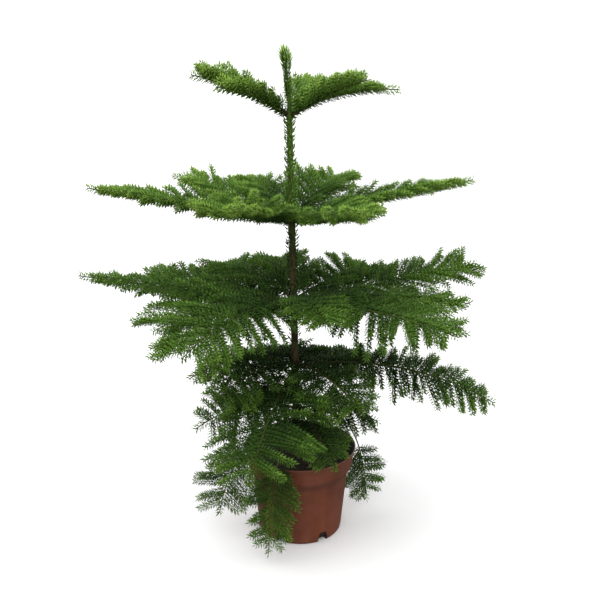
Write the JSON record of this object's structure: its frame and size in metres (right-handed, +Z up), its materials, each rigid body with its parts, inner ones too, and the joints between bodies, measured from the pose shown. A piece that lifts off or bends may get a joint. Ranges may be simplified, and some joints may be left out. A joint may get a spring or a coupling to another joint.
{
  "type": "potted norfolk island pine",
  "caption": "Young Norfolk Island pine: whorls of flat needled plumes round a slim trunk, growing in a round terracotta-coloured plastic nursery pot.",
  "frame": {"origin": "centre of the pot's flat underside, on the surface that the pot stands on", "axes": "+Z up along the pot's axis; -Y is the front, the side seen first; +X to the right as seen from the front"},
  "size_m": [0.6146, 0.3985, 0.7362],
  "materials": {
    "pot_plastic": "thin moulded terracotta plastic, black inside, slightly satin",
    "compost": "loose dark compost with bits of bark",
    "bark": "young bark, green towards the top and brown towards the foot",
    "bud_needles": "soft waxy needles, light yellow-green",
    "top_needles": "soft waxy needles, lighter at the branchlets' ends",
    "upper_needles": "soft waxy needles, lighter at the branchlets' ends",
    "middle_needles": "soft waxy needles, lighter at the branchlets' ends",
    "lower_needles": "soft waxy needles, lighter at the branchlets' ends",
    "bottom_needles": "soft waxy needles, lighter at the branchlets' ends",
    "lowest_needles": "soft waxy needles, lighter at the branchlets' ends"
  },
  "bodies": {
    "root": {"bottom_foliage_back_left": "bottom_needles", "bottom_foliage_front": "bottom_needles", "bottom_foliage_left": "bottom_needles", "bottom_foliage_right": "bottom_needles", "compost": "compost", "leader": "bud_needles", "lower_bough_front_left": "bark", "lower_bough_right": "bark", "lower_foliage_back": "lower_needles", "lower_foliage_back_right": "lower_needles", "lower_foliage_front_left": "lower_needles", "lower_foliage_front_right": "lower_needles", "lower_foliage_left": "lower_needles", "lower_foliage_left_front": "lower_needles", "lower_foliage_right": "lower_needles", "lowest_bough_front": "bark", "lowest_bough_left": "bark", "lowest_bough_right": "bark", "lowest_foliage_front": "lowest_needles", "lowest_foliage_left": "lowest_needles", "lowest_foliage_right": "lowest_needles", "middle_bough_back_left": "bark", "middle_bough_back_right": "bark", "middle_bough_front_left": "bark", "middle_bough_front_right": "bark", "middle_bough_left": "bark", "middle_bough_left_back": "bark", "middle_bough_left_front": "bark", "middle_bough_right": "bark", "middle_bough_right_front": "bark", "middle_foliage_back": "middle_needles", "middle_foliage_back_left": "middle_needles", "middle_foliage_back_right": "middle_needles", "middle_foliage_front": "middle_needles", "middle_foliage_front_left": "middle_needles", "middle_foliage_front_right": "middle_needles", "middle_foliage_left": "middle_needles", "middle_foliage_left_back": "middle_needles", "middle_foliage_left_front": "middle_needles", "middle_foliage_right": "middle_needles", "middle_foliage_right_front": "middle_needles", "pot": "pot_plastic", "top_foliage_back": "top_needles", "top_foliage_front_right": "top_needles", "top_foliage_left": "top_needles", "top_foliage_left_front": "top_needles", "top_foliage_right": "top_needles", "trunk": "bark", "upper_bough_back_left": "bark", "upper_bough_front_left": "bark", "upper_bough_front_right": "bark", "upper_bough_left": "bark", "upper_bough_right": "bark", "upper_foliage_back": "upper_needles", "upper_foliage_back_left": "upper_needles", "upper_foliage_back_right": "upper_needles", "upper_foliage_front_left": "upper_needles", "upper_foliage_front_right": "upper_needles", "upper_foliage_left": "upper_needles", "upper_foliage_right": "upper_needles"}
  },
  "joints": []
}
